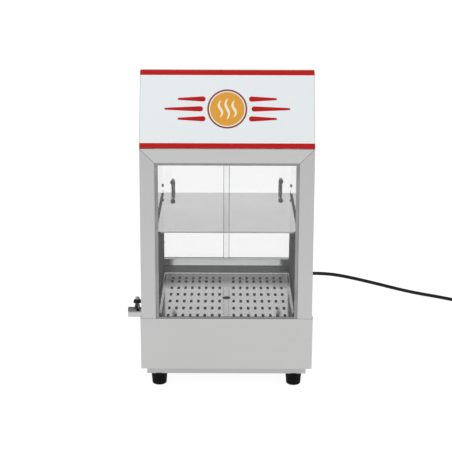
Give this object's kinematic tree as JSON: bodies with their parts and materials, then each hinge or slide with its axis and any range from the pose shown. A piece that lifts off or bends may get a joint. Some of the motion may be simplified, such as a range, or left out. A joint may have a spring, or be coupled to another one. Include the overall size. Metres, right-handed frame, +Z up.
{
  "type": "hot dog steamer",
  "caption": "Counter-top hot dog steamer: stainless base with water pan and drain valve, glazed cabinet with slotted tray and bun shelf, sign above.",
  "frame": {"origin": "on the ground, at the middle of the footprint with the drain valve and the thermostat knob counted and the cord left out", "axes": "+Z up, -Y towards the customer's side (window and sign), +X to the right seen from that side"},
  "size_m": [0.8914, 0.5458, 0.646],
  "materials": {
    "stainless_satin": "fine horizontal brush lines, satin",
    "stainless_liner": "polished sheet with faint rolling lines",
    "stainless_polished": "polished, soft mirror",
    "chrome_plate": "bright plated",
    "dark_nickel": "dark plated, smooth",
    "zinc_steel": "plain zinc-plated fasteners",
    "brass": "machined brass",
    "element_sheath": "heat-toned tube sheath",
    "copper_bulb": "drawn copper",
    "clear_glass": "clear toughened pane",
    "grey_seal": "smooth extruded seal",
    "sign_face": "cool white gloss with red bands",
    "track_aluminium": "natural extrusion",
    "black_rubber": "matt moulded rubber",
    "black_plastic": "fine moulded texture",
    "red_plastic": "translucent red",
    "pale_plastic": "plain pale moulding",
    "cord_sheath": "smooth black sheath, slight gloss"
  },
  "bodies": {
    "cabinet": {"base_casing": "stainless_satin", "base_deck": "stainless_satin", "rear_panel": "stainless_satin", "bottom_cover": "stainless_satin", "left_side_panel": "stainless_satin", "right_side_panel": "stainless_satin", "roof_panel": "stainless_satin", "rear_header": "stainless_satin", "left_stile": "stainless_satin", "right_stile": "stainless_satin", "top_rail": "stainless_satin", "left_lower_liner": "stainless_liner", "right_lower_liner": "stainless_liner", "left_upper_liner": "stainless_liner", "right_upper_liner": "stainless_liner", "water_pan": "stainless_polished", "tray_rails": "stainless_polished", "rear_sill": "stainless_polished", "valve_body": "chrome_plate", "panel_screws": "zinc_steel", "liner_screws": "zinc_steel", "foot_fasteners": "zinc_steel", "drain_nipple": "brass", "pan_locknuts": "brass", "heating_element": "element_sheath", "thermostat_sensor": "copper_bulb", "front_glass": "clear_glass", "glass_seal": "grey_seal", "sign_panel": "sign_face", "lower_track": "track_aluminium", "upper_track": "track_aluminium", "feet": "black_rubber", "switch_housing": "black_plastic", "overheat_cutout": "black_plastic", "cord_gland": "black_plastic", "indicator_lamps": "red_plastic", "terminal_block": "pale_plastic", "thermostat_body": "pale_plastic", "valve_seats": "pale_plastic", "power_cord": "cord_sheath", "cord_coil": "cord_sheath", "plug": "cord_sheath"},
    "left_door": {"left_door_glass": "clear_glass", "left_door_handle": "dark_nickel", "left_handle_screws": "dark_nickel"},
    "right_door": {"right_door_glass": "clear_glass", "right_door_handle": "dark_nickel", "right_handle_screws": "dark_nickel"},
    "steam_tray": {"steam_tray": "stainless_polished", "tray_floor": "stainless_polished"},
    "bun_shelf": {"bun_shelf": "stainless_polished"},
    "drain_lever": {"valve_lever": "black_plastic", "valve_stem": "chrome_plate", "valve_ball": "chrome_plate", "lever_nut": "zinc_steel"},
    "thermostat_knob": {"thermostat_knob": "black_plastic", "thermostat_spindle": "zinc_steel"},
    "switch_rocker": {"switch_rocker": "red_plastic"}
  },
  "joints": [
    {"name": "left_door_slide", "type": "slide", "parent": "cabinet", "child": "left_door", "axis": [1, 0, 0], "range_m": [0, 0.105]},
    {"name": "right_door_slide", "type": "slide", "parent": "cabinet", "child": "right_door", "axis": [1, 0, 0], "range_m": [-0.105, 0]},
    {"name": "steam_tray_lift", "type": "slide", "parent": "cabinet", "child": "steam_tray", "axis": [0, 0, 1], "range_m": [0, 0.05]},
    {"name": "bun_shelf_lift", "type": "slide", "parent": "cabinet", "child": "bun_shelf", "axis": [0, 0, 1], "range_m": [0, 0.03]},
    {"name": "drain_lever_turn", "type": "hinge", "parent": "cabinet", "child": "drain_lever", "pos_m": [-0.1745, -0.0145, 0.122], "axis": [0, 0, 1], "range_deg": [-90, 0]},
    {"name": "thermostat_knob_turn", "type": "hinge", "parent": "cabinet", "child": "thermostat_knob", "pos_m": [-0.072, 0.1855, 0.102], "axis": [0, -1, 0], "range_deg": [0, 270]},
    {"name": "switch_rocker_tilt", "type": "hinge", "parent": "cabinet", "child": "switch_rocker", "pos_m": [0.04, 0.1735, 0.102], "axis": [1, 0, 0], "range_deg": [-18, 0]}
  ]
}
